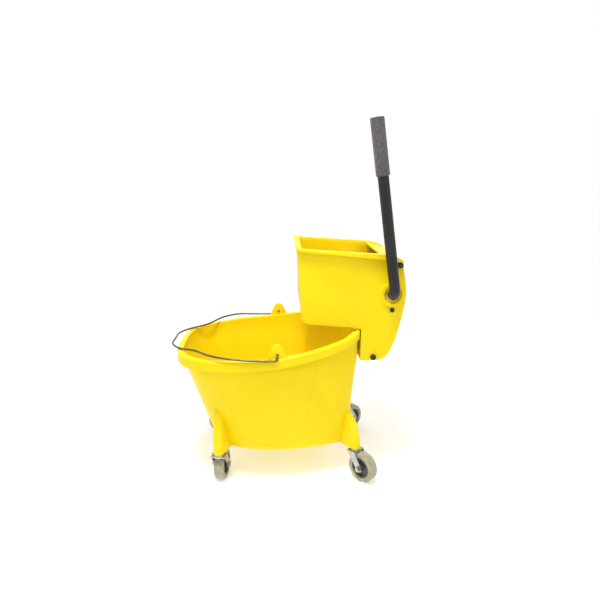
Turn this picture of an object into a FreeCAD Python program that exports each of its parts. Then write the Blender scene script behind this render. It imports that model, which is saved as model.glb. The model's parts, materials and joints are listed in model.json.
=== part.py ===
import FreeCAD, Part
import math
import os

# Mop bucket on four swivel casters with a side-press wringer.
# Millimetres, +Z up. +X points to the wringer end, -X to the pouring nose,
# -Y to the side that carries the lever. The floor is z = 0.
# Everything is drawn with x = 0 at the bail pivots and moved by X_SHIFT at
# the end, which puts the origin at the bottom centre of the whole object.

X_SHIFT = -16.5

# ---- driving dimensions -------------------------------------------------
WALL = 3.6              # bucket wall
Z_BOTTOM = 80.0         # underside of the bucket floor
Z_RIM = 322.0           # height at which the wall reaches its full width
FLOOR_T = 4.0
RIM_SKIN = 3.0          # thickness of the rolled rim
RIM_DROP_FRONT = 27.0
RIM_DROP_REAR = 21.0

BAIL_R = 2.5            # bail wire radius
BAIL_Z = 365.0          # bail pivot height
EAR_IN, EAR_OUT = 194.0, 201.0

LEG_Z = 82.0            # underside of the caster legs
LEG_FRONT = (-153.0, 145.0)
LEG_REAR = (198.0, 124.0)
LEG_R = 13.0
STEM_R = 5.5
STEM_LEN = 36.0

WHEEL_R = 38.1          # 3 in wheel
WHEEL_W = 25.0
TRAIL = 28.0
AXLE_R = 4.0
RUN = 0.05              # radial running clearance
FORK_IN, FORK_OUT = 16.0, 18.5

PANEL_IN, PANEL_OUT = 122.0, 126.0      # wringer side panels, |y|
FLANGE_OUT = 136.0
SHAFT = (278.5, 490.0)                  # lever shaft axis (x, z)
HINGE = (236.0, 331.0)                  # press plate hinge axis (x, z)
SCREW = (278.0, 452.0)                  # bush screw below the shaft (x, z)
TIE = (293.5, 561.5)                     # upper tie rod (x, z)
TUBE_R, TUBE_T = 12.7, 1.5              # 1 in tube
ELBOW_R = 28.0
LEVER_Y = -160.0
LEAN = math.radians(8.3)                # lever leans forward at rest
GRIP_FROM, GRIP_TO = 281.0, 406.5       # along the lever from the shaft
GRIP_R = 15.8

RATIO = -0.225          # press plate angle over lever angle
LEVER_MAX = 80.0        # degrees
CAM_BASE = 28.0
NOSE_R = 7.0
CAM_GAP = 0.35

V = FreeCAD.Vector
os.makedirs("parts", exist_ok=True)
done = {}


def out(name, shape):
    s = shape.copy()
    s.translate(V(X_SHIFT, 0, 0))
    done[name] = s
    s.exportStep("parts/%s.step" % name)
    print("%-24s solids %d valid %s vol %.0f" % (name, len(s.Solids), s.isValid(), s.Volume))


def one(shape):
    s = shape.removeSplitter()
    if len(s.Solids) == 1:
        return s.Solids[0]
    return s


def box(x0, x1, y0, y1, z0, z1):
    return Part.makeBox(x1 - x0, y1 - y0, z1 - z0, V(x0, y0, z0))


def cyl(p, d, r, h):
    return Part.makeCylinder(r, h, V(*p), V(*d))


def cyl_y(x, z, r, y0, y1):
    return Part.makeCylinder(r, y1 - y0, V(x, y0, z), V(0, 1, 0))


def face_xz(points, y=0.0):
    ps = [V(x, y, z) for x, z in points]
    return Part.Face(Part.makePolygon(ps + [ps[0]]))


def prism_xz(points, y0, y1):
    return face_xz(points, y0).extrude(V(0, y1 - y0, 0))


def mirror_y(s):
    return s.mirror(V(0, 0, 0), V(0, 1, 0))


def lerp(a, b, t):
    return a + (b - a) * t


def table(rows, x):
    if x <= rows[0][0]:
        return rows[0][1]
    for (x0, v0), (x1, v1) in zip(rows, rows[1:]):
        if x <= x1:
            return lerp(v0, v1, (x - x0) / (x1 - x0))
    return rows[-1][1]


# ---- bucket body --------------------------------------------------------
# Half outlines from the nose centre to the rear centre, (x, half width):
# outside of the rim, wall under the rim, and the bottom of the wall.
PLAN_RIM = [(-261, 0), (-259.5, 48), (-253, 92), (-237, 127), (-210, 155), (-170, 177), (-120, 195), (-60, 203.5),
            (0, 205), (50, 199), (100, 184), (145, 166), (177, 150.5), (191, 142.5), (199.5, 133), (202, 120),
            (202, 80), (202, 40), (202, 0)]
PLAN_TOP = [(-249.5, 0), (-248, 45), (-242, 86), (-227, 119), (-202, 145), (-164, 167), (-116, 184), (-58, 192),
            (0, 193.5), (48, 188), (97, 173), (141, 155.5), (172, 140.5), (186, 132.5), (195, 124), (198, 112),
            (198, 76), (198, 38), (198, 0)]
PLAN_BOTTOM = [(-170, 0), (-169, 32), (-165, 61), (-155, 85), (-139, 103), (-114, 119), (-82, 131), (-42, 138),
               (0, 140), (38, 137.5), (78, 131), (118, 120.5), (150, 109), (166, 100.5), (178, 90.5), (183, 78),
               (184, 52), (184, 26), (184, 0)]
RIM_TOP = [(-290, 341.5), (-225, 341.5), (-175, 342.5), (-122, 346.5), (-50, 350.5), (0, 355), (30, 359.5), (82, 367),
           (137, 377), (173, 386.5), (188, 394), (196, 399), (202, 400), (230, 400)]


def loop(half, inset=0.0):
    pts = list(half) + [(x, -y) for x, y in reversed(half[1:-1])]
    if not inset:
        return pts
    n = len(pts)
    res = []
    for i in range(n):
        ax, ay = pts[i - 1]
        bx, by = pts[(i + 1) % n]
        dx, dy = bx - ax, by - ay
        L = math.hypot(dx, dy)
        # the loop runs clockwise seen from above, so its inside is to the right
        res.append((pts[i][0] + inset * dy / L, pts[i][1] - inset * dx / L))
    return res


def blend_plan(t):
    return [(lerp(b[0], a[0], t), lerp(b[1], a[1], t)) for a, b in zip(PLAN_TOP, PLAN_BOTTOM)]


def wire_at(pts, z):
    c = Part.BSplineCurve()
    c.interpolate([V(x, y, z) for x, y in pts], PeriodicFlag=True)
    return Part.Wire(c.toShape())


def loft(sections):
    return Part.makeLoft([wire_at(p, z) for p, z in sections], True, True)


def level(z, inset):
    return (loop(blend_plan((z - Z_BOTTOM) / (Z_RIM - Z_BOTTOM)), inset), z)


outer = loft([level(80, 13), level(83, 6.5), level(88, 2.5), level(95, 0.5), level(104, 0), level(Z_RIM, 0),
              (loop(PLAN_TOP, -1.0), 420)])
inner = loft([level(84, 15), level(87, 9.5), level(92, 5.8), level(99, WALL + 0.3), level(106, WALL),
              level(Z_RIM, WALL), (loop(PLAN_TOP, WALL - 1.0), 430)])
rim_out = loft([(loop(PLAN_RIM, 1.2), 280), (loop(PLAN_RIM), 330), (loop(PLAN_RIM), 420)])
rim_in = loft([(loop(PLAN_RIM, RIM_SKIN + 1.2), 270), (loop(PLAN_RIM, RIM_SKIN), 330), (loop(PLAN_RIM, RIM_SKIN), 430)])


def under_curve(drop_front, drop_rear, z_low=0.0):
    pts = [V(x, -320, z - lerp(drop_front, drop_rear, min(1.0, max(0.0, (x + 170.0) / 372.0)))) for x, z in RIM_TOP]
    c = Part.BSplineCurve()
    c.interpolate(pts)
    a, b = pts[0], pts[-1]
    lines = [Part.makeLine(b, V(b.x, -320, z_low)), Part.makeLine(V(b.x, -320, z_low), V(a.x, -320, z_low)),
             Part.makeLine(V(a.x, -320, z_low), a)]
    return Part.Face(Part.Wire([c.toShape()] + lines)).extrude(V(0, 640, 0))


top_cut = under_curve(0, 0)
skin_cut = under_curve(RIM_SKIN, RIM_SKIN)
low_cut = under_curve(RIM_DROP_FRONT, RIM_DROP_REAR)

wall = outer.cut(inner).common(top_cut)
rim = rim_out.cut(inner).common(top_cut).cut(low_cut)
hollow = rim_in.cut(outer).common(skin_cut)
rim = rim.cut(hollow)
body = wall.fuse(rim)

# bail ears: rounded triangles standing on the rim
ear_pts = []
for i in range(0, 13):
    a = math.radians(20 + 140 * i / 12.0)
    ear_pts.append((14.0 * math.cos(a), 376.0 + 14.0 * math.sin(a)))
ear_profile = [(28, 350)] + ear_pts + [(-28, 347)]
ear = prism_xz(ear_profile, -EAR_OUT, -EAR_IN).cut(cyl_y(0, BAIL_Z, 3.2, -EAR_OUT - 5, -EAR_IN + 5))
body = body.fuse([ear, mirror_y(ear)])

# caster legs: a round boss at each corner, faired into the wall above it
def stadium(p, q, r, z):
    dx, dy = q[0] - p[0], q[1] - p[1]
    L = math.hypot(dx, dy)
    ux, uy = dx / L, dy / L
    nx, ny = -uy, ux
    a0 = V(p[0] + nx * r, p[1] + ny * r, z)
    am = V(p[0] - ux * r, p[1] - uy * r, z)
    a1 = V(p[0] - nx * r, p[1] - ny * r, z)
    b0 = V(q[0] - nx * r, q[1] - ny * r, z)
    bm = V(q[0] + ux * r, q[1] + uy * r, z)
    b1 = V(q[0] + nx * r, q[1] + ny * r, z)
    return Part.Wire([Part.Arc(a0, am, a1).toShape(), Part.makeLine(a1, b0), Part.Arc(b0, bm, b1).toShape(),
                      Part.makeLine(b1, a0)])


FAIR_FRONT = [(87, -153, 145, 12.6), (140, -153, 140, 12.0), (180, -152, 131.5, 11.0), (218, -151, 121, 9.5)]
FAIR_REAR = [(84, 198, 124, 13.0), (120, 195.5, 121.5, 12.5), (142, 191, 117, 12.0), (163, 183, 109, 11.0),
             (182, 172, 97, 9.0)]
fx, fy = LEG_FRONT
rx, ry = LEG_REAR


def leg(at, fair, q):
    boss = cyl((at[0], -at[1], LEG_Z), (0, 0, 1), LEG_R - 0.5, fair[0][0] - LEG_Z + 8)
    wires = [stadium((x, -y), q, r, z) for z, x, y, r in fair]
    return boss.fuse(Part.makeLoft(wires, True, True))


legs = []
for at, fair, q in ((LEG_FRONT, FAIR_FRONT, (-120, -70)), (LEG_REAR, FAIR_REAR, (150, -66))):
    s = leg(at, fair, q)
    legs += [s, mirror_y(s)]
body = body.multiFuse(legs)
body = body.cut(inner.common(box(-300, 300, -300, 300, 84, 330)))
for x, y in ((fx, -fy), (fx, fy), (rx, -ry), (rx, ry)):
    body = body.cut(cyl((x, y, LEG_Z - 5), (0, 0, 1), STEM_R + 0.1, STEM_LEN + 6))
body = one(body)
out("bucket_body", body)

# ---- bail wire ----------------------------------------------------------
def tube_along(points, radii, r):
    edges = []
    last = V(*points[0])
    for i in range(1, len(points) - 1):
        p, a, b = V(*points[i]), V(*points[i - 1]), V(*points[i + 1])
        u = a - p
        v = b - p
        lu, lv = u.Length, v.Length
        u.normalize()
        v.normalize()
        turn = math.pi - u.getAngle(v)
        rad = radii[i - 1] if radii else 0.45 * min(lu, lv) / math.tan(turn / 2)
        k = rad * math.tan(turn / 2)
        s, e = p + u * k, p + v * k
        m = u + v
        m.normalize()
        c = p + m * (rad / math.cos(turn / 2))
        mid = c - m * rad
        if (s - last).Length > 1e-6:
            edges.append(Part.makeLine(last, s))
        edges.append(Part.Arc(s, mid, e).toShape())
        last = e
    edges.append(Part.makeLine(last, V(*points[-1])))
    path = Part.Wire(edges)
    t = edges[0].tangentAt(edges[0].FirstParameter)
    prof = Part.Wire(Part.makeCircle(r, V(*points[0]), t))
    s = path.makePipeShell([prof], True, True)
    print("   tube length %.1f volume ratio %.4f" % (path.Length, s.Volume / (path.Length * math.pi * r * r)))
    return s


half = [(0, -190, BAIL_Z), (0, -209, BAIL_Z), (-3, -209, 353), (-60, -207, 353.5), (-128, -198, 357), (-170, -166, 355),
        (-206, -112, 348.5), (-250, -88, 345.2), (-276, -50, 344.8)]
pts = half + [(x, -y, z) for x, y, z in reversed(half)]
rad = [5.0, 5.5] + [None] * (len(pts) - 6) + [5.5, 5.0]
radii = []
for i in range(1, len(pts) - 1):
    if rad[i - 1] is None:
        a, p, b = V(*pts[i - 1]), V(*pts[i]), V(*pts[i + 1])
        u, v = a - p, b - p
        turn = math.pi - u.getAngle(v)
        radii.append(min(90.0, 0.45 * min(u.Length, v.Length) / math.tan(turn / 2)))
    else:
        radii.append(rad[i - 1])
out("bail_wire", tube_along(pts, radii, BAIL_R))

# ---- casters ------------------------------------------------------------
CROWN_Z0, CROWN_Z1 = 75.6, 78.4
CASTERS = {
    "front_left": (fx, -fy, math.radians(81)),
    "front_right": (fx, fy, math.radians(-160)),
    "rear_left": (rx, -ry, math.radians(-48)),
    "rear_right": (rx, ry, math.radians(38)),
}


def hexagon(r, h):
    ps = [V(r * math.cos(math.radians(60 * i)), r * math.sin(math.radians(60 * i)), 0) for i in range(6)]
    return Part.Face(Part.makePolygon(ps + [ps[0]])).extrude(V(0, 0, h))


def lie(s, y0):
    # turn an upright piece so that its axis runs along +Y from y0
    s = s.copy()
    s.rotate(V(0, 0, 0), V(1, 0, 0), -90)
    s.translate(V(0, y0, 0))
    return s


def make_caster():
    p = {}
    stem = cyl((0, 0, 78.8), (0, 0, 1), 15.0, LEG_Z - 78.8)
    stem = stem.fuse([cyl((0, 0, LEG_Z), (0, 0, 1), STEM_R, STEM_LEN), cyl((0, 0, 74.0), (0, 0, 1), 5.0, 6.0),
                      cyl((0, 0, 72.6), (0, 0, 1), 8.0, 2.6)])
    p["stem"] = one(stem)
    crown = cyl((0, 0, CROWN_Z0), (0, 0, 1), 15.5, CROWN_Z1 - CROWN_Z0)
    crown = crown.fuse(box(-12, 12, -FORK_OUT, FORK_OUT, CROWN_Z0, CROWN_Z1))
    prof = [(-12, CROWN_Z1), (12, CROWN_Z1)]
    for i in range(0, 11):
        a = math.radians(35 - 215 * i / 10.0)
        prof.append((TRAIL + 9.5 * math.cos(a), WHEEL_R + 9.5 * math.sin(a)))
    cheek = prism_xz(prof, FORK_IN, FORK_OUT)
    fork = crown.fuse([cheek, mirror_y(cheek)])
    fork = fork.cut(cyl((0, 0, 60), (0, 0, 1), 5.0 + RUN, 30))
    fork = fork.cut(cyl_y(TRAIL, WHEEL_R, AXLE_R + RUN, -30, 30))
    p["fork"] = one(fork)
    bolt = cyl_y(0, 0, AXLE_R, -FORK_OUT, FORK_OUT + 8.0).fuse(lie(hexagon(6.5, 4.0), -FORK_OUT - 4.0))
    bolt.translate(V(TRAIL, 0, WHEEL_R))
    p["axle_bolt"] = one(bolt)
    nut = lie(hexagon(7.2, 6.0), FORK_OUT).cut(cyl_y(0, 0, AXLE_R + 0.02, 0, 60))
    nut.translate(V(TRAIL, 0, WHEEL_R))
    p["axle_nut"] = one(nut)
    hub = cyl_y(0, 0, 9.5, -14.8, 14.8).fuse([cyl_y(0, 0, 27.0, -6, 6), cyl_y(0, 0, 27.0, -11, 11).cut(
        cyl_y(0, 0, 22.5, -12, 12))])
    hub = hub.cut(cyl_y(0, 0, AXLE_R + RUN, -20, 20))
    hub.translate(V(TRAIL, 0, WHEEL_R))
    p["wheel_hub"] = one(hub)
    tread = cyl_y(0, 0, WHEEL_R, -WHEEL_W / 2, WHEEL_W / 2)
    round_edges = [e for e in tread.Edges if len(e.Vertexes) == 1 and abs(e.BoundBox.XMax - WHEEL_R) < 0.01
                   and e.BoundBox.YLength < 0.01]
    tread = tread.makeFillet(4.0, round_edges)
    tread = tread.cut(cyl_y(0, 0, 27.0, -30, 30))
    tread.translate(V(TRAIL, 0, WHEEL_R))
    p["wheel_tread"] = one(tread)
    return p


caster = make_caster()
for name, (cx, cy, ang) in CASTERS.items():
    for piece, s in caster.items():
        t = s.copy()
        if name == "rear_left":
            # this one has its nut on the outer face
            t = t.mirror(V(0, 0, 0), V(0, 1, 0))
        t.rotate(V(0, 0, 0), V(0, 0, 1), math.degrees(ang))
        t.translate(V(cx, cy, 0))
        out("caster_%s_%s" % (name, piece), t)

# ---- wringer housing ----------------------------------------------------
# Outline of a side panel, (x, z).
REAR_EDGE = [(250, 322.5), (260, 326.5), (268, 332.8), (275, 342), (281, 354), (288, 373), (295.5, 401.5),
             (302, 427.5), (308, 458.5), (311.5, 490), (310.6, 510), (306.3, 534), (302.8, 551), (302, 564)]
TOP_EDGE = [(297, 571), (262, 582), (190, 588), (160, 590), (75, 595), (60, 598), (47, 603)]
FRONT_EDGE = [(54, 542), (55, 508), (56, 449), (58, 432), (64, 421), (74, 416.5)]
NOTCH = [(128, 412), (201, 406), (204.5, 404), (204.5, 330), (207, 323), (214, 321)]
OUTLINE = REAR_EDGE + TOP_EDGE + FRONT_EDGE + NOTCH

panel = prism_xz(OUTLINE, -PANEL_OUT, -PANEL_IN)
flange_top = [(43, 608), (60, 602), (75, 600), (160, 595), (190, 593), (262, 588), (272, 586), (295, 576.5),
              (302, 570)]
flange_low = [(302, 569.2), (284, 571), (256, 575), (190, 582), (124, 589), (82, 592), (60, 595), (46.5, 600)]
flange = prism_xz(flange_top + flange_low, -FLANGE_OUT, -PANEL_IN)
gutter = prism_xz([(x, z - 3.2) for x, z in flange_top[1:-2]] + [(288, 575.5), (288, 540), (60, 560)],
                  -FLANGE_OUT + 3.0, -PANEL_OUT)
side = panel.fuse(flange.cut(gutter))
boss = cyl_y(SHAFT[0], SHAFT[1], 30.0, -PANEL_OUT - 6, -PANEL_OUT).cut(cyl_y(SHAFT[0], SHAFT[1], 21.5, -140, -PANEL_OUT))
side = side.fuse(boss)
pad = cyl_y(SCREW[0], SCREW[1], 9.0, -PANEL_OUT - 2.5, -PANEL_OUT)
side = side.fuse(pad)
sides = [side, mirror_y(side)]


def strip(points, t, y0, y1):
    # a wall of thickness t along a polyline, on its left side
    n = len(points)
    back = []
    for i in range(n):
        ax, az = points[max(0, i - 1)]
        bx, bz = points[min(n - 1, i + 1)]
        dx, dz = bx - ax, bz - az
        L = math.hypot(dx, dz)
        back.append((points[i][0] - t * dz / L, points[i][1] + t * dx / L))
    return prism_xz(points + back[::-1], y0, y1)


W = PANEL_IN
front_wall = strip([(47.5, 603), (54, 542), (55, 508), (56, 449), (58, 432), (64, 421), (74, 416.5)], 3.6, -W, W)
front_lip = prism_xz([(43, 608), (58, 602.6), (60, 592), (46.2, 600)], -FLANGE_OUT + 0.0, FLANGE_OUT - 0.0)
grid_floor = prism_xz([(66, 423.5), (72, 417.4), (190, 407.2), (200, 407.2), (200, 411), (188, 412.6)], -W, W)
rear_wall = strip(REAR_EDGE, 3.6, -W, W)
cover = prism_xz([(302.2, 559), (302, 564), (300.5, 568.5), (296, 572.5), (250, 584.5), (250, 580.9), (294.6, 569.2), (297.3, 567),
                  (298.3, 564), (298.6, 559)], -W, W)
saddle = prism_xz([(186, 401.0), (208, 401.0), (208, 409), (200, 411), (186, 412.7)], -W, W)
inner_skirt = box(186, 189.6, -112, 112, 372, 403)
outer_skirt = box(204.5, 208, -W, W, 321, 405)
skirt_foot = box(204.5, 214, -W, W, 321, 324)
housing = sides[0].multiFuse([sides[1], front_wall, front_lip, grid_floor, rear_wall, cover, saddle, inner_skirt,
                              outer_skirt, skirt_foot])
cuts = []
for i in range(9):
    y = -96 + 24 * i
    for z0, z1 in ((440, 500), (510, 566)):
        cuts.append(box(40, 70, y - 4, y + 4, z0, z1))
    for x0, x1 in ((84, 114), (124, 154), (162, 180)):
        cuts.append(box(x0, x1, y - 4, y + 4, 400, 430))
for i in range(5):
    y = -88 + 44 * i
    cuts.append(box(200, 210, y - 10, y + 10, 345, 375))
for x, z, r in ((SHAFT[0], SHAFT[1], 15.5), (HINGE[0], HINGE[1], 4.02), (TIE[0], TIE[1], 4.02)):
    cuts.append(cyl_y(x, z, r, -160, 160))
cuts.append(cyl_y(SCREW[0], SCREW[1], 2.6, -160, -100))
cuts.append(cyl_y(SCREW[0], SCREW[1], 2.6, 100, 160))
housing = housing.cut(Part.makeCompound(cuts))
out("wringer_housing", one(housing))

# ---- press plate --------------------------------------------------------
PL_W = 115.0
PL_TOP = 551.0
face_x0, face_x1 = 180.0, 184.0
skin = prism_xz([(face_x0, 444), (face_x0 + 4, PL_TOP), (face_x0 + 8, PL_TOP), (face_x0 + 4, 444)], -PL_W, PL_W)
roof = prism_xz([(184, PL_TOP), (184, PL_TOP - 4), (232, PL_TOP - 4), (232, PL_TOP)], -PL_W, PL_W)
sole = prism_xz([(180, 444), (226, 423), (232, 423), (232, 427), (227, 427), (184, 446.6)], -PL_W, PL_W)
bar = box(226, 232.5, -PL_W, PL_W, 466, 514)
ribs = []
rib_out = [(182, 445), (226, 423.5), (234.8, 415), (234.6, 409), (226.3, 334), (246, 334), (251, 420), (250, 440),
           (234, 474), (232, PL_TOP - 2), (186, PL_TOP - 2)]
for y0, y1 in ((-108, -100), (100, 108)):
    ribs.append(prism_xz(rib_out, y0, y1).fuse(cyl_y(HINGE[0], HINGE[1], 10.0, y0 - 3, y1 + 3)))
for y0, y1 in ((-42, -38), (38, 42), (-2, 2)):
    ribs.append(prism_xz([(182, 445), (226, 424), (231, 424), (231, PL_TOP - 2), (186, PL_TOP - 2)], y0, y1))
plate = skin.multiFuse([roof, sole, bar] + ribs)
plate = plate.cut(cyl_y(HINGE[0], HINGE[1], 4.0 + RUN, -150, 150))
slots = []
for i in range(9):
    y = -90 + 22.5 * i
    for z0, z1 in ((456, 498), (508, 542)):
        slots.append(box(170, 195, y - 3.5, y + 3.5, z0, z1))
plate = plate.cut(Part.makeCompound(slots))
out("press_plate", one(plate))

# follower pads that the cams push
F0 = (SHAFT[0] - CAM_BASE - CAM_GAP - NOSE_R, SHAFT[1])


def follower(y0, y1):
    nose = cyl_y(F0[0], F0[1], NOSE_R, y0, y1)
    foot = box(232.5, F0[0], y0, y1, SHAFT[1] - NOSE_R, SHAFT[1] + NOSE_R)
    plate_ = box(232.5, 235.5, y0 - 3, y1 + 3, SHAFT[1] - 18, SHAFT[1] + 18)
    return one(nose.fuse([foot, plate_]).cut(box(200, 232.5, -200, 200, 400, 560)))


out("follower_pad_near", follower(-78, -60))
out("follower_pad_far", follower(60, 78))

# ---- cams ---------------------------------------------------------------
def turn(p, c, deg):
    # right-hand turn about +Y, in the x, z plane
    a = math.radians(deg)
    x, z = p[0] - c[0], p[1] - c[1]
    return (c[0] + x * math.cos(a) + z * math.sin(a), c[1] - x * math.sin(a) + z * math.cos(a))


def track(phi):
    f = turn(F0, HINGE, RATIO * phi)
    return turn(f, SHAFT, -phi)


profile = []
steps = 44
for i in range(steps + 1):
    phi = -4 + (LEVER_MAX + 6.0) * i / steps
    a, b, c = track(phi - 0.01), track(phi), track(phi + 0.01)
    dx, dz = c[0] - a[0], c[1] - a[1]
    L = math.hypot(dx, dz)
    n = (-dz / L, dx / L)
    if (SHAFT[0] - b[0]) * n[0] + (SHAFT[1] - b[1]) * n[1] < 0:
        n = (-n[0], -n[1])
    profile.append((b[0] + (NOSE_R + CAM_GAP) * n[0], b[1] + (NOSE_R + CAM_GAP) * n[1]))
tip = profile[-1]
first = profile[0]
print("cam first", first, "tip", tip, "radius", math.hypot(tip[0] - SHAFT[0], tip[1] - SHAFT[1]))
c = Part.BSplineCurve()
c.interpolate([V(x, 0, z) for x, z in profile])
front_edge = c.toShape()
end_dir = (tip[0] - SHAFT[0], tip[1] - SHAFT[1])
heel = [(tip[0] + 9, tip[1] + 1.5), (tip[0] + 16, tip[1] + 8), (SHAFT[0] + 21, SHAFT[1] - 20), (SHAFT[0] + 21, SHAFT[1] + 6),
        (SHAFT[0] + 8, SHAFT[1] + 20), (SHAFT[0] - 14, SHAFT[1] + 20)]
back = [V(tip[0], 0, tip[1])] + [V(x, 0, z) for x, z in heel] + [V(first[0], 0, first[1])]
cam_face = Part.Face(Part.Wire([front_edge] + [Part.makeLine(p, q) for p, q in zip(back, back[1:])]))


def cam(y0, y1):
    s = cam_face.copy()
    s.translate(V(0, y0, 0))
    s = s.extrude(V(0, y1 - y0, 0))
    h0, h1 = (y0 - 14, y1) if y0 < 0 else (y0, y1 + 14)
    s = s.fuse(cyl_y(SHAFT[0], SHAFT[1], 20.0, h0, h1))
    s = s.cut(cyl_y(SHAFT[0], SHAFT[1], TUBE_R + 0.02, -200, 200))
    ym = y0 - 7 if y0 < 0 else y1 + 7
    s = s.cut(cyl((SHAFT[0], ym, SHAFT[1] - 30), (0, 0, 1), 2.52, 60))
    return one(s)


out("cam_near", cam(-76, -62))
out("cam_far", cam(62, 76))
pins = [cyl((SHAFT[0], y, SHAFT[1] - 20.5), (0, 0, 1), 2.5, 41.0) for y in (-83, 83)]
out("cam_pins", Part.makeCompound(pins))

# ---- lever --------------------------------------------------------------
d = V(-math.sin(LEAN), 0, math.cos(LEAN))
s0 = V(SHAFT[0], 134, SHAFT[1])
s1 = V(SHAFT[0], LEVER_Y + ELBOW_R, SHAFT[1])
centre = s1 + d * ELBOW_R
e1 = V(SHAFT[0], LEVER_Y, SHAFT[1]) + d * ELBOW_R
mid_dir = (V(0, -1, 0) - d)
mid_dir.normalize()
mid = centre + mid_dir * ELBOW_R
top = V(SHAFT[0], LEVER_Y, SHAFT[1]) + d * (GRIP_TO - 3.5)


def lever(r):
    path = Part.Wire([Part.makeLine(s0, s1), Part.Arc(s1, mid, e1).toShape(), Part.makeLine(e1, top)])
    prof = Part.Wire(Part.makeCircle(r, s0, V(0, -1, 0)))
    return path.makePipeShell([prof], True, True)


tube = lever(TUBE_R).cut(lever(TUBE_R - TUBE_T))
for y in (-83, 83):
    tube = tube.cut(cyl((SHAFT[0], y, SHAFT[1] - 30), (0, 0, 1), 2.52, 60))
out("handle_tube", one(tube))
g0 = V(SHAFT[0], LEVER_Y, SHAFT[1]) + d * GRIP_FROM
grip = Part.makeCylinder(GRIP_R, GRIP_TO - GRIP_FROM, g0, d)
grip = grip.makeFillet(3.0, [e for e in grip.Edges if len(e.Vertexes) == 1])
grip = grip.cut(Part.makeCylinder(TUBE_R + 0.02, GRIP_TO - 3.4 - GRIP_FROM, g0, d))
out("handle_grip", one(grip))


def bush(sign):
    y0, y1 = sorted((sign * (PANEL_IN - 3.2), sign * (PANEL_OUT + 1.0)))
    f0, f1 = sorted((sign * (PANEL_IN - 3.2), sign * (PANEL_IN - 0.05)))
    s = cyl_y(SHAFT[0], SHAFT[1], 15.45, y0, y1).fuse(cyl_y(SHAFT[0], SHAFT[1], 19.5, f0, f1))
    return one(s.cut(cyl_y(SHAFT[0], SHAFT[1], TUBE_R + RUN, -200, 200)))


out("shaft_bush_near", bush(-1))
out("shaft_bush_far", bush(1))
cap = cyl_y(SHAFT[0], SHAFT[1], 16.5, 134.2, 139.5)
cap = cap.makeFillet(3.0, [e for e in cap.Edges if len(e.Vertexes) == 1 and e.BoundBox.YMin > 139])
cap = cap.fuse(cyl_y(SHAFT[0], SHAFT[1], TUBE_R - TUBE_T - 0.05, 124, 135))
out("shaft_end_cap", one(cap))
screws = []
for sign in (-1, 1):
    y = sign * (PANEL_OUT + 2.5)
    a, b = sorted((sign * (PANEL_IN - 2.0), y))
    h0, h1 = sorted((y, y + sign * 3.2))
    head = cyl_y(SCREW[0], SCREW[1], 5.6, h0, h1)
    screws.append(one(head.fuse(cyl_y(SCREW[0], SCREW[1], 2.5, a, b))))
out("bush_screws", Part.makeCompound(screws))

# ---- rods, nuts, springs ------------------------------------------------
def rod(at):
    return cyl_y(at[0], at[1], 4.0, -PANEL_OUT - 6, PANEL_OUT + 6)


def nuts(at):
    res = []
    for sign in (-1, 1):
        y0, y1 = sorted((sign * PANEL_OUT, sign * (PANEL_OUT + 7.5)))
        n = cyl_y(at[0], at[1], 7.0, y0, y1)
        n = n.makeFillet(2.5, [e for e in n.Edges if len(e.Vertexes) == 1 and abs(abs(e.BoundBox.YMin) - PANEL_OUT - 7.5) < 0.1])
        a, b = sorted((sign * (PANEL_OUT - 1), sign * (PANEL_OUT + 6.05)))
        res.append(one(n.cut(cyl_y(at[0], at[1], 4.02, a, b))))
    return Part.makeCompound(res)


out("hinge_rod", rod(HINGE))
out("hinge_rod_nuts", nuts(HINGE))
out("tie_rod", rod(TIE))
out("tie_rod_nuts", nuts(TIE))


def spring(mirrored):
    # torsion spring: one leg on the outer skirt, the other hooked on the arm
    r, w, n, pitch = 7.0, 0.9, 5.5, 2.2
    helix = Part.makeHelix(pitch, pitch * n, r)
    prof = Part.Wire(Part.makeCircle(w, V(r, 0, 0), V(0, 1, pitch / (2 * math.pi * r))))
    coil = Part.Wire(helix.Edges).makePipeShell([prof], True, True)
    h = pitch * n
    a = cyl((-r, 0.9, h), (0, -1, 0), w + 0.12, 42.0)
    hook = cyl((-r, -40.0, h - 0.6), (0, 0, 1), w + 0.05, 16.6)
    b = cyl((r, 0.9, 0), (0, -1, 0), w + 0.12, 36.5)
    coil = coil.multiFuse([a, b, hook])
    coil.rotate(V(0, 0, 0), V(1, 0, 0), -90)
    coil.rotate(V(0, 0, 0), V(0, 0, 1), 180)
    # coil axis now along -Y, legs up, the hooked leg at +x
    coil.rotate(V(0, 0, 0), V(0, 1, 0), -22)
    coil.translate(V(HINGE[0], -80, HINGE[1]))
    return one(mirror_y(coil) if mirrored else coil)


out("return_spring_near", spring(False))
out("return_spring_far", spring(True))

bb = Part.makeCompound(list(done.values())).optimalBoundingBox(False, False)
print("box x %.2f %.2f  y %.2f %.2f  z %.2f %.2f" % (bb.XMin, bb.XMax, bb.YMin, bb.YMax, bb.ZMin, bb.ZMax))
print("centre offset", (bb.XMin + bb.XMax) / 2, (bb.YMin + bb.YMax) / 2, "nodes", len(done))
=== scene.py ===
import bpy
import bmesh
import json
import math
import numpy as np
from mathutils import Matrix, Vector


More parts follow.
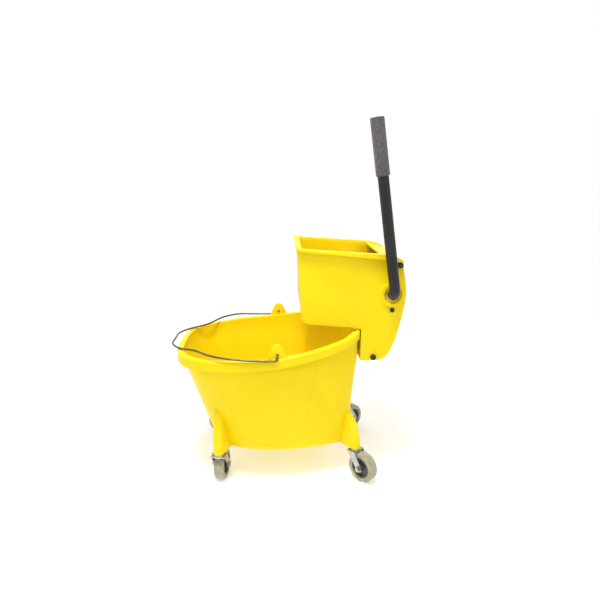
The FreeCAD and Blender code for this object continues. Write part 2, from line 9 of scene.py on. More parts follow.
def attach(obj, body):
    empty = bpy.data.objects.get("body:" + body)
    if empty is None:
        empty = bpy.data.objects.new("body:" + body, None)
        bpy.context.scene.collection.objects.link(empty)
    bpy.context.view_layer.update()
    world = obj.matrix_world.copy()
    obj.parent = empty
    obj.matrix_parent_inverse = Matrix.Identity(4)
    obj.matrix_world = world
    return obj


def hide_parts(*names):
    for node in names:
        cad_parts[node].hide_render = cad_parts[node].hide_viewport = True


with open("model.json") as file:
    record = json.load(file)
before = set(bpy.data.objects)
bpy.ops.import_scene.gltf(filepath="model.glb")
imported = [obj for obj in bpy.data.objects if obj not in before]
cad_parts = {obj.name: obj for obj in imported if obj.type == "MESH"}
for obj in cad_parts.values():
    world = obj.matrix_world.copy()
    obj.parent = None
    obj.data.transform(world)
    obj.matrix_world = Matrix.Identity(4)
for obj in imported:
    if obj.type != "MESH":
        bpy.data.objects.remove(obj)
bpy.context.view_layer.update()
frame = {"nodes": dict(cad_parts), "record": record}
NODES = frame["nodes"]
XS = -16.5          # the drawing's x = 0 is at the bail pivots; the frame's origin is further back


def M(x, y, z):
    return Vector(((x + XS) / 1000.0, y / 1000.0, z / 1000.0))


# ---------------------------------------------------------------- helpers
def mesh_object(name, verts, faces, smooth=True, merge=0.0):
    me = bpy.data.meshes.new(name)
    me.from_pydata([tuple(v) for v in verts], [], faces)
    me.validate()
    if merge:
        bm = bmesh.new()
        bm.from_mesh(me)
        bmesh.ops.remove_doubles(bm, verts=bm.verts, dist=merge)
        bmesh.ops.recalc_face_normals(bm, faces=bm.faces)
        bm.to_mesh(me)
        bm.free()
    if smooth:
        me.polygons.foreach_set("use_smooth", [True] * len(me.polygons))
    o = bpy.data.objects.new(name, me)
    bpy.context.scene.collection.objects.link(o)
    return o


def apply_modifiers(o):
    dg = bpy.context.evaluated_depsgraph_get()
    me = bpy.data.meshes.new_from_object(o.evaluated_get(dg), depsgraph=dg)
    old = o.data
    o.modifiers.clear()
    o.data = me
    if old.users == 0:
        bpy.data.meshes.remove(old)
    return o


def boolean(o, others, op):
    for c in others:
        m = o.modifiers.new("b", "BOOLEAN")
        m.operation = op
        m.solver = "EXACT"
        m.object = c
        bpy.context.view_layer.update()
        apply_modifiers(o)
    for c in others:
        d = c.data
        bpy.data.objects.remove(c)
        if d.users == 0:
            bpy.data.meshes.remove(d)
    return o


def shade(o, angle=35.0):
    me = o.data
    me.polygons.foreach_set("use_smooth", [True] * len(me.polygons))
    me.set_sharp_from_angle(angle=math.radians(angle))


def bevel(o, width, segments=2, angle=35.0):
    m = o.modifiers.new("bevel", "BEVEL")
    m.width = width
    m.segments = segments
    m.limit_method = "ANGLE"
    m.angle_limit = math.radians(angle)
    return apply_modifiers(o)


def spline(points, n_per=12, closed=False):
    """Centripetal Catmull-Rom through 2-D or 3-D points."""
    P = [np.array(p, float) for p in points]
    if closed:
        P = [P[-1]] + P + [P[0], P[1]]
    else:
        P = [2 * P[0] - P[1]] + P + [2 * P[-1] - P[-2]]
    out = []
    for i in range(1, len(P) - 2):
        p0, p1, p2, p3 = P[i - 1], P[i], P[i + 1], P[i + 2]
        t0 = 0.0
        t1 = t0 + max(1e-6, np.linalg.norm(p1 - p0)) ** 0.5
        t2 = t1 + max(1e-6, np.linalg.norm(p2 - p1)) ** 0.5
        t3 = t2 + max(1e-6, np.linalg.norm(p3 - p2)) ** 0.5
        for k in range(n_per):
            t = t1 + (t2 - t1) * k / n_per
            a1 = (t1 - t) / (t1 - t0) * p0 + (t - t0) / (t1 - t0) * p1
            a2 = (t2 - t) / (t2 - t1) * p1 + (t - t1) / (t2 - t1) * p2
            a3 = (t3 - t) / (t3 - t2) * p2 + (t - t2) / (t3 - t2) * p3
            b1 = (t2 - t) / (t2 - t0) * a1 + (t - t0) / (t2 - t0) * a2
            b2 = (t3 - t) / (t3 - t1) * a2 + (t - t1) / (t3 - t1) * a3
            out.append((t2 - t) / (t2 - t1) * b1 + (t - t1) / (t2 - t1) * b2)
    if not closed:
        out.append(P[-2])
    return np.array(out)


def smooth01(t):
    t = min(1.0, max(0.0, t))
    return t * t * (3 - 2 * t)


def grid_faces(rows, cols, wrap=True):
    f = []
    for r in range(rows - 1):
        for c in range(cols if wrap else cols - 1):
            d = (c + 1) % cols
            f.append((r * cols + c, r * cols + d, (r + 1) * cols + d, (r + 1) * cols + c))
    return f


def tube_mesh(path, radius, sides=14, closed=False, up_hint=(0, 0, 1), profile=None, cap=True):
    """A tube, or a sweep of a 2-D profile, along a polyline in metres."""
    P = [np.array(p, float) for p in path]
    n = len(P)
    T = []
    for i in range(n):
        a = P[i - 1] if (closed or i > 0) else P[0]
        b = P[(i + 1) % n] if (closed or i < n - 1) else P[-1]
        t = b - a
        T.append(t / np.linalg.norm(t))
    u = np.cross(T[0], np.array(up_hint, float))
    if np.linalg.norm(u) < 1e-3:
        u = np.cross(T[0], np.array((1.0, 0, 0)))
    u /= np.linalg.norm(u)
    verts = []
    prof = profile or [(math.cos(2 * math.pi * k / sides), math.sin(2 * math.pi * k / sides)) for k in range(sides)]
    for i in range(n):
        u = u - T[i] * np.dot(u, T[i])
        u /= np.linalg.norm(u)
        v = np.cross(T[i], u)
        for a, b in prof:
            verts.append(P[i] + (u * a + v * b) * radius)
    m = len(prof)
    faces = grid_faces(n, m)
    if closed:
        faces += [((n - 1) * m + c, (n - 1) * m + (c + 1) % m, (c + 1) % m, c) for c in range(m)]
    elif cap:
        faces.append(tuple(range(m))[::-1])
        faces.append(tuple((n - 1) * m + c for c in range(m)))
    return verts, faces


# ---------------------------------------------------------------- the drawing's curves (mm)
PLAN_TOP = [(-249.5, 0), (-248, 45), (-242, 86), (-227, 119), (-202, 145), (-164, 167), (-116, 184), (-58, 192),
            (0, 193.5), (48, 188), (97, 173), (141, 155.5), (172, 140.5), (186, 132.5), (195, 124), (198, 112),
            (198, 76), (198, 38), (198, 0)]
PLAN_BOTTOM = [(-170, 0), (-169, 32), (-165, 61), (-155, 85), (-139, 103), (-114, 119), (-82, 131), (-42, 138),
               (0, 140), (38, 137.5), (78, 131), (118, 120.5), (150, 109), (166, 100.5), (178, 90.5), (183, 78),
               (184, 52), (184, 26), (184, 0)]
PLAN_RIM = [(-261, 0), (-259.5, 48), (-253, 92), (-237, 127), (-210, 155), (-170, 177), (-120, 195), (-60, 203.5),
            (0, 205), (50, 199), (100, 184), (145, 166), (177, 150.5), (191, 142.5), (199.5, 133), (202, 120),
            (202, 80), (202, 40), (202, 0)]
RIM_TOP = [(-290, 341.5), (-225, 341.5), (-175, 342.5), (-122, 346.5), (-50, 350.5), (0, 355), (30, 359.5), (82, 367),
           (137, 377), (173, 386.5), (188, 394), (196, 399), (202, 400), (230, 400)]
WALL = 3.6


def polar(half):
    pts = list(half) + [(x, -y) for x, y in reversed(half[1:-1])]
    c = spline(pts, 16, closed=True)
    a = np.arctan2(c[:, 1], c[:, 0])
    r = np.hypot(c[:, 0], c[:, 1])
    o = np.argsort(a)
    a, r = a[o], r[o]
    a = np.concatenate([a - 2 * math.pi, a, a + 2 * math.pi])
    r = np.concatenate([r, r, r])
    return lambda th: float(np.interp((th + math.pi) % (2 * math.pi) - math.pi, a, r))


r_top, r_bottom, r_rim = polar(PLAN_TOP), polar(PLAN_BOTTOM), polar(PLAN_RIM)
_rt = spline(RIM_TOP, 10)


def rim_z(x):
    return float(np.interp(x, _rt[:, 0], _rt[:, 1]))


# caster legs: (z, x, y, radius) of the nose, and the point inside the tub that each one grows from
LEG_FRONT = ([(82, -153, 145, 12.5), (110, -153, 143.4, 12.4), (140, -153, 140, 12.0), (160, -152.6, 136.4, 11.6),
              (180, -152, 131.5, 11.0), (200, -151.4, 126.0, 10.2), (219, -151, 119.5, 9.2)], (-120, 70))
LEG_REAR = ([(82, 198, 124, 13.0), (100, 197.4, 123.2, 12.8), (120, 195.5, 121.5, 12.5), (142, 191, 117, 12.0),
             (163, 183, 109, 11.0), (182, 172, 97, 9.0)], (150, 66))
LEG_AT = [math.atan2(-145, -153), math.atan2(145, -153), math.atan2(-124, 198), math.atan2(124, 198)]


def wrap_pi(a):
    return (a + math.pi) % (2 * math.pi) - math.pi


def base_r(th, z):
    t = (z - 80.0) / 242.0
    if t > 1:
        return r_top(th) + (z - 322.0) * 0.01
    rb, rt = r_bottom(th), r_top(th)
    return rb + (rt - rb) * t


def columns():
    angles = set()
    n = 320
    for i in range(n):
        angles.add(round(-math.pi + 2 * math.pi * i / n, 6))
    # the rear corners turn quickly
    for c in (math.atan2(124, 195), -math.atan2(124, 195)):
        for s in np.linspace(-0.12, 0.16, 24):
            angles.add(round(wrap_pi(c + s), 6))
    out = []
    for a in sorted(angles):
        if not out or a - out[-1] > 0.004:
            out.append(a)
    return out


# ---------------------------------------------------------------- bucket body
def bucket_mesh():
    cols = columns()
    rows = []                       # each row: list of (x, y, z) over the columns

    def row(fn):
        rows.append([fn(th) for th in cols])

    def at(th, r, z):
        return (r * math.cos(th), r * math.sin(th), z)

    def inner_point(th, z, inset):
        return at(th, base_r(th, z) - inset, z)

    # inside floor, from near the centre outwards, then up the inside wall
    for k in (0.02, 0.25, 0.5, 0.72, 0.88):
        row(lambda th, k=k: at(th, (base_r(th, 84) - 20) * k, 84.0 + 0.0 * k))
    for z, ins in ((84.0, 20), (84.35, 16.5), (85.6, 12.5), (87.8, 9.2), (91, 6.6), (95, 4.9), (100, 4.0), (106, 3.7)):
        row(lambda th, z=z, ins=ins: inner_point(th, z, ins * (1.0)))
    zs_in = [118, 140, 165, 190, 215, 240, 265, 290, 312]
    for z in zs_in:
        row(lambda th, z=z: inner_point(th, z, WALL))

    def rim_row(o, dz, follow=0.0):
        """o: 0 = inner face, 1 = outer face of the wall, 2 = outside of the rim; dz below the rim's top."""
        def fn(th):
            rt = base_r(th, 340)
            rr = r_rim(th)
            if o <= 1:
                r = (rt - WALL) + WALL * o
            else:
                r = rt + (rr - rt) * (o - 1)
            x = rr * math.cos(th)
            zt = rim_z(x)
            drop = 27.0 + (21.0 - 27.0) * min(1.0, max(0.0, (x + 170.0) / 372.0))
            z = zt - (dz if dz >= 0 else drop + dz + 100.0)
            return at(th, r, z)
        row(fn)

    rim_row(0, 9.0)
    rim_row(0, 4.5)
    rim_row(0.02, 2.4)
    rim_row(0.14, 1.1)
    rim_row(0.45, 0.3)
    rim_row(0.9, 0.0)
    rim_row(1.35, 0.0)
    rim_row(1.68, 0.35)
    rim_row(1.86, 1.2)
    rim_row(1.955, 2.6)
    rim_row(1.99, 4.6)
    rim_row(2.0, 8.0)
    rim_row(2.01, 13.0)
    rim_row(2.02, 18.0)
    # lower edge of the band, measured up from its drop
    rim_row(2.04, -104.0)
    rim_row(2.04, -101.6)
    rim_row(2.0, -100.4)
    rim_row(1.93, -100.0)
    rim_row(1.84, -100.0)
    rim_row(1.77, -100.5)
    rim_row(1.74, -102.2)
    rim_row(1.73, -108.0)
    rim_row(1.72, 9.0)
    rim_row(1.66, 5.2)
    rim_row(1.5, 4.2)
    rim_row(1.2, 4.2)
    rim_row(1.06, 5.2)
    rim_row(1.0, 7.5)

    # the outside of the wall, down to its foot
    def wall_row(s):
        def fn(th):
            rr = r_rim(th)
            z0 = rim_z(rr * math.cos(th)) - 12.0
            z = z0 + (104.0 - z0) * s
            b = base_r(th, z)
            return at(th, b, z)
        row(fn)

    for s in np.linspace(0.0, 1.0, 34):
        wall_row(float(s))

    for z, ins in ((99, 0.35), (95, 0.9), (91.5, 1.9), (88.5, 3.2), (86, 4.9), (84, 6.9), (82.6, 9.0), (81.5, 11.2)):
        row(lambda th, z=z, ins=ins: at(th, base_r(th, z) - ins, z))
    row(lambda th: at(th, base_r(th, 80.5) - 13.5, 80.7))
    row(lambda th: at(th, base_r(th, 80) - 17.5, 80.0))
    for k in (0.85, 0.6, 0.35, 0.1, 0.02):
        row(lambda th, k=k: at(th, (base_r(th, 80) - 17.5) * k, 80.0))

    C = len(cols)
    verts = [M(*p) for r in rows for p in r]
    faces = grid_faces(len(rows), C)
    # close the two poles
    a = len(verts)
    verts.append(M(0, 0, 84.0))
    verts.append(M(0, 0, 80.0))
    faces += [(a, (c + 1) % C, c) for c in range(C)]
    L = (len(rows) - 1) * C
    faces += [(a + 1, L + c, L + (c + 1) % C) for c in range(C)]
    return mesh_object("tub", verts, faces, merge=1e-6)


def leg_mesh(table, q, sign):
    """A leg under one corner: a rounded nose at each height, run back into the tub."""
    t = spline([np.array(r, float) for r in table], 5)
    n = 20
    verts = []
    for z, x, y, r in t:
        p = np.array((x, sign * y))
        c = np.array((q[0], sign * q[1]), float)
        u = (c - p) / np.linalg.norm(c - p)
        v = np.array((-u[1], u[0]))
        ring = [p + r * (math.cos(a) * -u + math.sin(a) * v) for a in np.linspace(-math.pi / 2, math.pi / 2, n)]
        back = c
        ring += [back + v * r, back - v * r]
        verts += [M(w[0], w[1], z) for w in ring]
    m = n + 2
    faces = grid_faces(len(t), m)
    faces += [tuple(range(m))[::-1], tuple((len(t) - 1) * m + k for k in range(m))]
    return mesh_object("leg", verts, faces, merge=1e-7)


def mid_solid():
    """The inside of the tub out to the middle of its wall: what the legs are cut back to."""
    th = [-math.pi + 2 * math.pi * i / 180 for i in range(180)]
    rows = [(81.9, 17.5), (83, 12), (84.5, 9.5), (87, 7), (90, 5), (94, 3.4), (99, 2.4), (106, 1.8), (160, 1.8),
            (220, 1.8), (300, 1.8)]
    verts = []
    for z, ins in rows:
        verts += [M((base_r(a, z) - ins) * math.cos(a), (base_r(a, z) - ins) * math.sin(a), z) for a in th]
    faces = grid_faces(len(rows), 180)
    faces += [tuple(range(180))[::-1], tuple((len(rows) - 1) * 180 + k for k in range(180))]
    return mesh_object("inside", verts, faces, merge=1e-7)


def wall_y(x, z):
    """Half width of the outside of the wall at x, z."""
    lo, hi = 0.25 * math.pi, 0.85 * math.pi
    lo, hi = 0.02, math.pi - 0.02
    for _ in range(40):
        mid = (lo + hi) / 2
        if base_r(mid, z) * math.cos(mid) > x:
            lo = mid
        else:
            hi = mid
    return base_r(lo, z) * math.sin(lo)


def ear_mesh(sign):
    prof = [(29, 347.5), (24, 358.0), (20.5, 366.0)]
    for i in range(0, 13):
        a = math.radians(22 + 136 * i / 12.0)
        prof.append((14.0 * math.cos(a), 376.0 + 14.0 * math.sin(a)))
    prof += [(-20.5, 366.0), (-24, 357.0), (-29, 345.0)]
    pts = spline(prof, 4)
    n = len(pts)
    y0, y1 = 194.2, 200.8
    verts = [M(x, sign * y0, z) for x, z in pts] + [M(x, sign * y1, z) for x, z in pts]
    faces = [(i, (i + 1) % n, n + (i + 1) % n, n + i) for i in range(n)]
    faces += [tuple(range(n)), tuple(range(2 * n - 1, n - 1, -1))]
    o = mesh_object("ear", verts, faces, merge=1e-7)
    bevel(o, 0.0014, 3, 40)
    hole = tube_mesh([M(0, sign * 185, 365), M(0, sign * 215, 365)], 0.0032, 24)
    h = mesh_object("hole", *hole, merge=1e-7)
    return boolean(o, [h], "DIFFERENCE")


U_LINE = [(93.5, 330), (88, 300), (80, 254), (70.5, 192), (58, 148), (40, 119), (15, 103.5), (-12, 99.5), (-41, 102),
          (-66, 109), (-92, 128), (-109, 162), (-119.5, 205), (-127, 254), (-132.5, 296), (-133, 315)]


def u_bead(sign, inside=False):
    pts = spline(U_LINE, 8)
    path, nor = [], []
    off = -WALL if inside else 0.0
    for x, z in pts:
        y = wall_y(x, z)
        e = 0.5
        dyx = (wall_y(x + e, z) - wall_y(x - e, z)) / (2 * e)
        dyz = (wall_y(x, z + e) - wall_y(x, z - e)) / (2 * e)
        n = np.array((-dyx, 1.0, -dyz))
        n /= np.linalg.norm(n)
        p = np.array((x, y, z)) + n * off
        path.append(np.array((p[0], sign * p[1], p[2])))
        nor.append(np.array((n[0], sign * n[1], n[2])) * (-1 if inside else 1))
    m = 10
    verts = []
    n_p = len(path)
    for i in range(n_p):
        a, b = path[max(0, i - 1)], path[min(n_p - 1, i + 1)]
        t = (b - a) / np.linalg.norm(b - a)
        s = np.cross(t, nor[i])
        s /= np.linalg.norm(s)
        end = min(1.0, min(i, n_p - 1 - i) / 6.0)
        hgt = (0.9 if inside else 1.15) * (0.15 + 0.85 * end)
        for k in range(m + 1):
            a_ = math.pi * k / m
            w = 2.7 * math.cos(a_)
            h = hgt * (math.sin(a_) ** 1.4) - 0.25
            verts.append(M(*(path[i] + s * w + nor[i] * h)))
        verts.append(M(*(path[i] - nor[i] * 1.6 - s * 2.2)))
        verts.append(M(*(path[i] - nor[i] * 1.6 + s * 2.2)))
    c = m + 3
    faces = grid_faces(n_p, c)
    faces.append(tuple(range(c))[::-1])
    faces.append(tuple((n_p - 1) * c + k for k in range(c)))
    return mesh_object("bead", verts, faces, merge=1e-8)


tub = bucket_mesh()
legs = [leg_mesh(t, q, sg) for t, q in (LEG_FRONT, LEG_REAR) for sg in (-1, 1)]
for lg in legs:
    boolean(lg, [mid_solid()], "DIFFERENCE")
parts = legs + [ear_mesh(1), ear_mesh(-1), u_bead(1), u_bead(-1), u_bead(1, True), u_bead(-1, True)]
boolean(tub, parts, "UNION")
tub.name = "bucket_shell"
shade(tub, 38)


# ---------------------------------------------------------------- wringer
def soft_copy(node, name, body, width=0.0008, segments=3, angle=38.0, rounds=()):
    """A copy of a drawn piece with moulded edges. rounds: (test, radius in metres) for edges with a larger radius."""
    me = NODES[node].data.copy()
    me.name = name
    o = bpy.data.objects.new(name, me)
    bpy.context.scene.collection.objects.link(o)
    bm = bmesh.new()
    bm.from_mesh(me)
    bmesh.ops.remove_doubles(bm, verts=bm.verts, dist=2e-6)
    bmesh.ops.dissolve_limit(bm, angle_limit=math.radians(0.6), verts=bm.verts, edges=bm.edges, delimit=set())
    bmesh.ops.recalc_face_normals(bm, faces=bm.faces)
    for test, radius in rounds:
        picked = [e for e in bm.edges if len(e.link_faces) == 2 and e.calc_face_angle(0) > math.radians(angle)
                  and test(e.verts[0].co, e.verts[1].co)]
        if picked:
            bmesh.ops.bevel(bm, geom=picked, offset=radius, segments=6, profile=0.5, affect="EDGES",
                            clamp_overlap=False, loop_slide=False)
    bm.to_mesh(me)
    bm.free()
    if width:
        m = o.modifiers.new("bevel", "BEVEL")
        m.width = width
        m.segments = segments
        m.limit_method = "ANGLE"
        m.angle_limit = math.radians(angle)
        m.use_clamp_overlap = True
        m.loop_slide = False
        apply_modifiers(o)
    shade(o, 32)
    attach(o, body)
    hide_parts(node)
    return o


housing = soft_copy("wringer_housing", "wringer_shell", "wringer", 0.0009, 3)
plate = soft_copy("press_plate", "press_plate_moulded", "press", 0.0007, 2)


# ---------------------------------------------------------------- materials
def new_material(name):
    m = bpy.data.materials.new(name)
    m.use_nodes = True
    nt = m.node_tree
    return m, nt, nt.nodes["Principled BSDF"]


def _node(nt, kind, **vals):
    n = nt.nodes.new(kind)
    for k, v in vals.items():
        if k in n.inputs:
            n.inputs[k].default_value = v
        else:
            setattr(n, k, v)
    return n


def _noise(nt, scale, detail=3.0, rough=0.55, stretch=None):
    tc = nt.nodes.new("ShaderNodeTexCoord")
    n = _node(nt, "ShaderNodeTexNoise", Scale=scale, Detail=detail, Roughness=rough)
    if stretch:
        mp = nt.nodes.new("ShaderNodeMapping")
        mp.inputs["Scale"].default_value = stretch
        nt.links.new(tc.outputs["Object"], mp.inputs["Vector"])
        nt.links.new(mp.outputs["Vector"], n.inputs["Vector"])
    else:
        nt.links.new(tc.outputs["Object"], n.inputs["Vector"])
    return n


def _ramp(nt, src, stops):
    r = nt.nodes.new("ShaderNodeValToRGB")
    nt.links.new(src, r.inputs["Fac"])
    el = r.color_ramp.elements
    while len(el) > len(stops):
        el.remove(el[-1])
    while len(el) < len(stops):
        el.new(0.5)
    for e, (p, c) in zip(el, stops):
        e.position = p
        e.color = (c, c, c, 1) if not isinstance(c, tuple) else (*c, 1)
    return r


def plastic(name, col, rough=0.34, vary=0.05, grain=700.0, grain_depth=0.00004, scuff=0.10, coat=0.0, ior=1.5,
            sss=0.0, spec=0.12):
    """Moulded plastic: slightly uneven colour, a fine moulded skin, and faint handling scuffs."""
    m, nt, b = new_material(name)
    b.inputs["IOR"].default_value = ior
    b.inputs["Specular IOR Level"].default_value = spec
    b.inputs["Coat Weight"].default_value = coat
    b.inputs["Coat Roughness"].default_value = 0.12
    if sss:
        b.inputs["Subsurface Weight"].default_value = sss
        b.inputs["Subsurface Radius"].default_value = (1.0, 0.55, 0.08)
        b.inputs["Subsurface Scale"].default_value = 0.006
    big = _noise(nt, 9.0, 4.0)
    lo = tuple(c * (1 - vary) for c in col)
    hi = tuple(min(1.0, c * (1 + vary * 0.6)) for c in col)
    cr = _ramp(nt, big.outputs["Fac"], [(0.3, lo), (0.7, hi)])
    # fine scratches, drawn as thin threads of a stretched noise
    sc = _noise(nt, 60.0, 6.0, 0.7, (1.0, 1.0, 0.18))
    sr = _ramp(nt, sc.outputs["Fac"], [(0.485, 0.0), (0.5, 1.0), (0.515, 0.0)])
    patch = _noise(nt, 5.0, 2.0)
    pr = _ramp(nt, patch.outputs["Fac"], [(0.52, 0.0), (0.66, 1.0)])
    mul = _node(nt, "ShaderNodeMath", operation="MULTIPLY")
    nt.links.new(sr.outputs["Color"], mul.inputs[0])
    nt.links.new(pr.outputs["Color"], mul.inputs[1])
    mixc = nt.nodes.new("ShaderNodeMix")
    mixc.data_type = "RGBA"
    mixc.inputs[7].default_value = (*[min(1.0, c * 0.6 + 0.35) for c in col], 1)
    sm = _node(nt, "ShaderNodeMath", operation="MULTIPLY")
    sm.inputs[1].default_value = scuff
    nt.links.new(mul.outputs[0], sm.inputs[0])
    nt.links.new(sm.outputs[0], mixc.inputs[0])
    nt.links.new(cr.outputs["Color"], mixc.inputs[6])
    nt.links.new(mixc.outputs[2], b.inputs["Base Color"])
    # roughness: broad patches handled smooth, scuffs rougher
    rn = _noise(nt, 22.0, 3.0)
    rr = _ramp(nt, rn.outputs["Fac"], [(0.3, rough * 0.85), (0.7, rough * 1.18)])
    ra = _node(nt, "ShaderNodeMath", operation="ADD")
    rs = _node(nt, "ShaderNodeMath", operation="MULTIPLY")
    rs.inputs[1].default_value = 0.25 * (scuff > 0)
    nt.links.new(mul.outputs[0], rs.inputs[0])
    nt.links.new(rr.outputs["Color"], ra.inputs[0])
    nt.links.new(rs.outputs[0], ra.inputs[1])
    nt.links.new(ra.outputs[0], b.inputs["Roughness"])
    fine = _noise(nt, grain, 2.0)
    wav = _noise(nt, 26.0, 1.0)
    b1 = _node(nt, "ShaderNodeBump", Strength=0.5, Distance=grain_depth)
    b2 = _node(nt, "ShaderNodeBump", Strength=0.35, Distance=0.0006)
    nt.links.new(fine.outputs["Fac"], b1.inputs["Height"])
    nt.links.new(wav.outputs["Fac"], b2.inputs["Height"])
    nt.links.new(b1.outputs["Normal"], b2.inputs["Normal"])
    nt.links.new(b2.outputs["Normal"], b.inputs["Normal"])
    return m


def metal(name, col, rough=0.3, brushed=0.0, spots=0.0, spot_col=(0.1, 0.07, 0.05), bump=0.00003, scale=120.0):
    """Plated or bare metal: cloudy roughness, fine drawing marks, and a little tarnish."""
    m, nt, b = new_material(name)
    b.inputs["Metallic"].default_value = 1.0
    cl = _noise(nt, 55.0, 4.0)
    cr = _ramp(nt, cl.outputs["Fac"], [(0.3, tuple(c * 0.86 for c in col)), (0.7, tuple(min(1, c * 1.1) for c in col))])
    if spots:
        sp = _noise(nt, 30.0, 8.0, 0.75)
        sr = _ramp(nt, sp.outputs["Fac"], [(0.56, 0.0), (0.72, spots)])
        mx = nt.nodes.new("ShaderNodeMix")
        mx.data_type = "RGBA"
        mx.inputs[7].default_value = (*spot_col, 1)
        nt.links.new(sr.outputs["Color"], mx.inputs[0])
        nt.links.new(cr.outputs["Color"], mx.inputs[6])
        nt.links.new(mx.outputs[2], b.inputs["Base Color"])
    else:
        nt.links.new(cr.outputs["Color"], b.inputs["Base Color"])
    rn = _noise(nt, 90.0, 3.0)
    rr = _ramp(nt, rn.outputs["Fac"], [(0.3, rough * 0.75), (0.7, rough * 1.3)])
    nt.links.new(rr.outputs["Color"], b.inputs["Roughness"])
    fn = _noise(nt, scale * 8, 3.0, 0.6, (1.0, 1.0, 0.1) if brushed else None)
    b1 = _node(nt, "ShaderNodeBump", Strength=0.6, Distance=bump)
    nt.links.new(fn.outputs["Fac"], b1.inputs["Height"])
    nt.links.new(b1.outputs["Normal"], b.inputs["Normal"])
    return m


def paint(name, col, rough=0.35, chips=0.0):
    """Powder-coated steel: fine orange peel and a few worn marks."""
    m, nt, b = new_material(name)
    b.inputs["IOR"].default_value = 1.5
    b.inputs["Specular IOR Level"].default_value = 0.35
    cl = _noise(nt, 14.0, 4.0)
    cr = _ramp(nt, cl.outputs["Fac"], [(0.3, tuple(c * 0.88 for c in col)), (0.7, tuple(c * 1.15 for c in col))])
    sp = _noise(nt, 75.0, 8.0, 0.75, (1.0, 1.0, 0.35))
    sr = _ramp(nt, sp.outputs["Fac"], [(0.66, 0.0), (0.70, chips)])
    mx = nt.nodes.new("ShaderNodeMix")
    mx.data_type = "RGBA"
    mx.inputs[7].default_value = (0.32, 0.31, 0.29, 1)
    nt.links.new(sr.outputs["Color"], mx.inputs[0])
    nt.links.new(cr.outputs["Color"], mx.inputs[6])
    nt.links.new(mx.outputs[2], b.inputs["Base Color"])
    rn = _noise(nt, 40.0, 3.0)
    rr = _ramp(nt, rn.outputs["Fac"], [(0.3, rough * 0.85), (0.7, rough * 1.2)])
    nt.links.new(rr.outputs["Color"], b.inputs["Roughness"])
    fn = _noise(nt, 1400.0, 1.0)
    b1 = _node(nt, "ShaderNodeBump", Strength=0.4, Distance=0.00005)
    nt.links.new(fn.outputs["Fac"], b1.inputs["Height"])
    nt.links.new(b1.outputs["Normal"], b.inputs["Normal"])
    return m


def foam(name, col):
    """Closed-cell foam: mottled grey, open pores and a dull skin."""
    m, nt, b = new_material(name)
    b.inputs["IOR"].default_value = 1.42
    b.inputs["Sheen Weight"].default_value = 0.25
    b.inputs["Sheen Roughness"].default_value = 0.5
    tc = nt.nodes.new("ShaderNodeTexCoord")
    v = _node(nt, "ShaderNodeTexVoronoi", Scale=620.0)
    nt.links.new(tc.outputs["Object"], v.inputs["Vector"])
    n = _noise(nt, 190.0, 5.0, 0.65)
    n2 = _noise(nt, 24.0, 3.0)
    mx = _node(nt, "ShaderNodeMath", operation="MULTIPLY")
    nt.links.new(n.outputs["Fac"], mx.inputs[0])
    ad = _node(nt, "ShaderNodeMath", operation="ADD")
    ad.inputs[1].default_value = 0.5
    nt.links.new(n2.outputs["Fac"], ad.inputs[0])
    nt.links.new(ad.outputs[0], mx.inputs[1])
    cr = _ramp(nt, mx.outputs[0], [(0.36, tuple(c * 0.62 for c in col)), (0.52, col), (0.68, tuple(c * 1.35 for c in col))])
    nt.links.new(cr.outputs["Color"], b.inputs["Base Color"])
    rr = _ramp(nt, n.outputs["Fac"], [(0.3, 0.72), (0.7, 0.92)])
    nt.links.new(rr.outputs["Color"], b.inputs["Roughness"])
    b1 = _node(nt, "ShaderNodeBump", Strength=0.7, Distance=0.0004)
    b2 = _node(nt, "ShaderNodeBump", Strength=0.6, Distance=0.0006)
    nt.links.new(v.outputs["Distance"], b1.inputs["Height"])
    nt.links.new(n.outputs["Fac"], b2.inputs["Height"])
    nt.links.new(b1.outputs["Normal"], b2.inputs["Normal"])
    nt.links.new(b2.outputs["Normal"], b.inputs["Normal"])
    return m


def rubber(name, col, rough=0.6):
    """Moulded rubber or dull polymer, a little dusty."""
    m, nt, b = new_material(name)
    b.inputs["IOR"].default_value = 1.5
    n = _noise(nt, 70.0, 5.0, 0.65)
    cr = _ramp(nt, n.outputs["Fac"], [(0.32, tuple(c * 0.7 for c in col)), (0.7, tuple(min(1, c * 1.25) for c in col))])
    nt.links.new(cr.outputs["Color"], b.inputs["Base Color"])
    rr = _ramp(nt, n.outputs["Fac"], [(0.3, rough * 0.85), (0.7, min(1.0, rough * 1.2))])
    nt.links.new(rr.outputs["Color"], b.inputs["Roughness"])
    f = _noise(nt, 900.0, 3.0)
    b1 = _node(nt, "ShaderNodeBump", Strength=0.5, Distance=0.0001)
    nt.links.new(f.outputs["Fac"], b1.inputs["Height"])
    nt.links.new(b1.outputs["Normal"], b.inputs["Normal"])
    return m


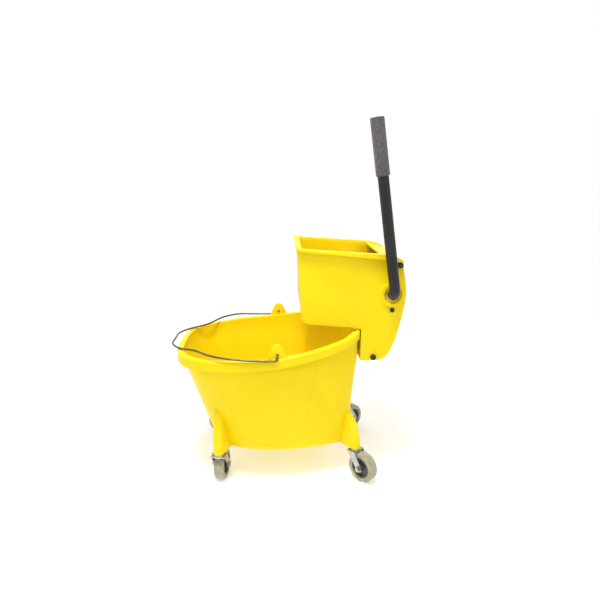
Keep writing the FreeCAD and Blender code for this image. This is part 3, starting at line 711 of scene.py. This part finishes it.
YELLOW = (0.87, 0.665, 0.006)
MATS = {
    "bucket_plastic": plastic("bucket_yellow", YELLOW, 0.33, sss=0.06),
    "wringer_plastic": plastic("wringer_yellow", (0.88, 0.67, 0.006), 0.34, sss=0.06),
    "press_plastic": plastic("press_yellow", (0.86, 0.65, 0.007), 0.36, sss=0.06),
    "bail_steel": metal("bail_steel", (0.17, 0.135, 0.085), 0.38, spots=0.35),
    "lever_paint": paint("lever_paint", (0.013, 0.0135, 0.0125), 0.36, 0.5),
    "grip_foam": foam("grip_foam", (0.096, 0.086, 0.088)),
    "nylon": rubber("nylon_white", (0.52, 0.50, 0.44), 0.45),
    "cap_plastic": rubber("cap_black", (0.022, 0.022, 0.024), 0.45),
    "cam_metal": metal("cam_steel", (0.42, 0.42, 0.43), 0.38),
    "zinc_steel": metal("zinc_steel", (0.46, 0.465, 0.48), 0.28, spots=0.2, spot_col=(0.45, 0.43, 0.40)),
    "dark_steel": metal("dark_steel", (0.055, 0.053, 0.05), 0.42, spots=0.3),
    "spring_steel": metal("spring_steel", (0.45, 0.44, 0.42), 0.3),
    "hub_plastic": rubber("hub_grey", (0.075, 0.075, 0.068), 0.5),
    "tread_rubber": rubber("tread_grey", (0.35, 0.34, 0.23), 0.55),
}


def finish_of(slot_name):
    return MATS[slot_name]


def paint_cad():
    rec = frame["record"]
    by_node = {}
    for name, o in NODES.items():
        for i, s in enumerate(o.material_slots):
            nm = (s.material.name if s.material else "").split(".")[0]
            if nm in MATS:
                s.material = MATS[nm]
                by_node[name] = nm
    return by_node


painted = paint_cad()
missing = [n for n in NODES if n not in painted]
if missing:
    print("unpainted", missing, {n: [s.material.name if s.material else None for s in NODES[n].material_slots] for n in missing})

for o_, s_ in ((housing, "wringer_plastic"), (plate, "press_plastic")):
    o_.data.materials.clear()
    o_.data.materials.append(MATS[s_])
tub.data.materials.clear()
tub.data.materials.append(MATS["bucket_plastic"])
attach(tub, "bucket")
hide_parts("bucket_body")

# ---------------------------------------------------------------- floor, light and camera
def stage_floor():
    """A white sheet: flat under the object, swept up behind it."""
    prof = [(-5.0, 0.0), (-2.5, 0.0), (0.0, 0.0), (1.2, 0.0)]
    prof += [(1.2 + 1.5 * math.sin(a), 1.5 * (1 - math.cos(a))) for a in np.linspace(0.12, math.pi / 2, 14)]
    prof += [(2.7, 3.0), (2.7, 5.0)]
    xs = (-6.0, -2.0, 0.0, 2.0, 6.0)
    verts = [(x, y, z) for y, z in prof for x in xs]
    w = len(xs)
    faces = [(i * w + j, i * w + j + 1, (i + 1) * w + j + 1, (i + 1) * w + j)
             for i in range(len(prof) - 1) for j in range(w - 1)]
    o = mesh_object("studio_floor", verts, faces, smooth=True)
    m, nt, b = new_material("studio_white")
    n = _noise(nt, 3.0, 2.0)
    cr = _ramp(nt, n.outputs["Fac"], [(0.3, 0.90), (0.7, 0.92)])
    nt.links.new(cr.outputs["Color"], b.inputs["Base Color"])
    b.inputs["Roughness"].default_value = 0.8
    b.inputs["Specular IOR Level"].default_value = 0.0
    b.inputs["Emission Color"].default_value = (1.0, 1.0, 1.0, 1)
    b.inputs["Emission Strength"].default_value = 0.26
    o.data.materials.append(m)
    w = bpy.context.scene.world or bpy.data.worlds.new("studio")
    bpy.context.scene.world = w
    w.use_nodes = True
    w.node_tree.nodes["Background"].inputs["Color"].default_value = (1.0, 1.0, 1.0, 1)
    w.node_tree.nodes["Background"].inputs["Strength"].default_value = WORLD
    return o


def area_light(name, loc, target, size, power, col=(1, 1, 1), spread=180.0):
    l = bpy.data.lights.new(name, "AREA")
    l.shape = "RECTANGLE"
    l.size, l.size_y = size
    l.energy = power
    l.spread = math.radians(spread)
    l.color = col
    o = bpy.data.objects.new(name, l)
    o.location = loc
    d = Vector(target) - Vector(loc)
    o.rotation_euler = d.to_track_quat("-Z", "Y").to_euler()
    bpy.context.scene.collection.objects.link(o)
    return o


WORLD = 0.73
bpy.context.scene.view_settings.view_transform = "Standard"
stage_floor()
area_light("key", (-1.2, -1.9, 2.2), (0, 0, 0.35), (1.0, 1.0), 7.0)
area_light("fill", (1.9, -1.4, 1.0), (0, 0, 0.35), (1.2, 1.2), 3.0)
area_light("top", (-0.2, -0.6, 2.2), (-0.04, 0.06, 0.26), (0.5, 0.5), 4.2, spread=60.0)

cam_data = bpy.data.cameras.new("camera")
cam = bpy.data.objects.new("camera", cam_data)
bpy.context.scene.collection.objects.link(cam)
bpy.context.scene.camera = cam
yaw, pitch = math.radians(1.89), math.radians(13.82)
fwd = Vector((math.sin(yaw) * math.cos(pitch), math.cos(yaw) * math.cos(pitch), -math.sin(pitch)))
rgt = Vector((math.cos(yaw), -math.sin(yaw), 0.0))
up = rgt.cross(fwd)
cam.matrix_world = Matrix((
    (rgt.x, up.x, -fwd.x, (15 + XS) / 1000.0),
    (rgt.y, up.y, -fwd.y, -1.320),
    (rgt.z, up.z, -fwd.z, 0.772),
    (0, 0, 0, 1)))
cam_data.sensor_width = 36.0
cam_data.lens = 30.66
cam_data.clip_start = 0.05
cam_data.clip_end = 50.0
